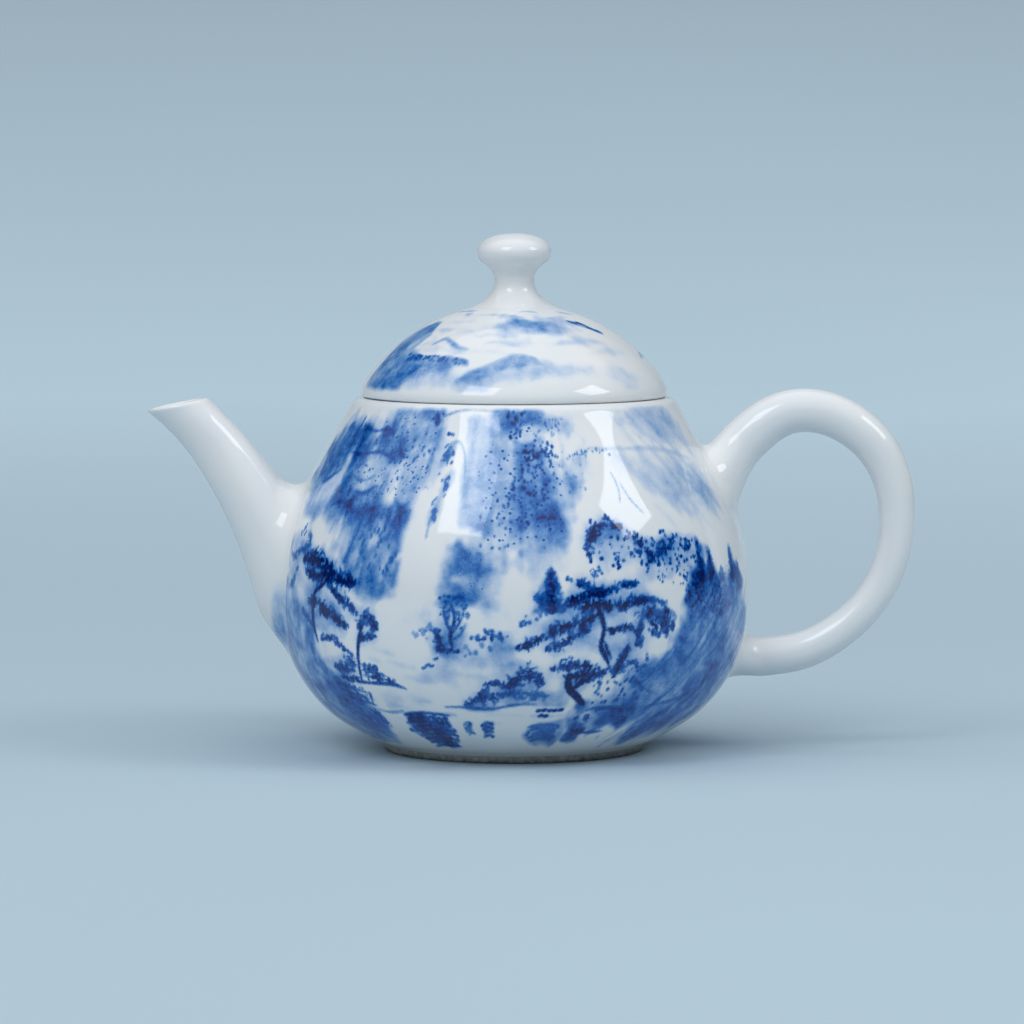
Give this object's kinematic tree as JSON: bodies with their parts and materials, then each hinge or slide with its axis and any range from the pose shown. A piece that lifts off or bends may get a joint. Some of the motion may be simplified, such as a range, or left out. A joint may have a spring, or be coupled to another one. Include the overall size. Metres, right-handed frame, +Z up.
{
  "type": "porcelain teapot",
  "caption": "Small pear-shaped porcelain teapot with a tapered spout, ring handle and domed lift-off lid, painted under the glaze with a cobalt-blue mountain landscape.",
  "frame": {"origin": "on the table, midway along X between the spout's tip and the handle's outer edge, on the pot's plane of symmetry", "axes": "+X towards the handle, -X towards the spout, +Z up; the pot's own axis is at x = -3.05 mm"},
  "size_m": [0.146, 0.0894, 0.0981],
  "materials": {
    "painted_porcelain": "clear gloss glaze over cobalt-blue painting on cool white porcelain",
    "plain_porcelain": "clear gloss glaze on cool white porcelain",
    "spout_porcelain": "clear gloss glaze on white porcelain, with the landscape running a little way onto the root",
    "foot_biscuit": "unglazed, wiped foot with a matt contact edge"
  },
  "bodies": {
    "pot": {"pot_body": "painted_porcelain", "foot_ring": "foot_biscuit", "strainer": "plain_porcelain", "spout": "spout_porcelain", "handle": "plain_porcelain"},
    "lid": {"lid": "painted_porcelain", "lid_flange": "plain_porcelain", "knob": "plain_porcelain"}
  },
  "joints": [
    {"name": "lid_lift", "type": "slide", "parent": "pot", "child": "lid", "axis": [0, 0, 1], "range_m": [0, 0.04]}
  ]
}
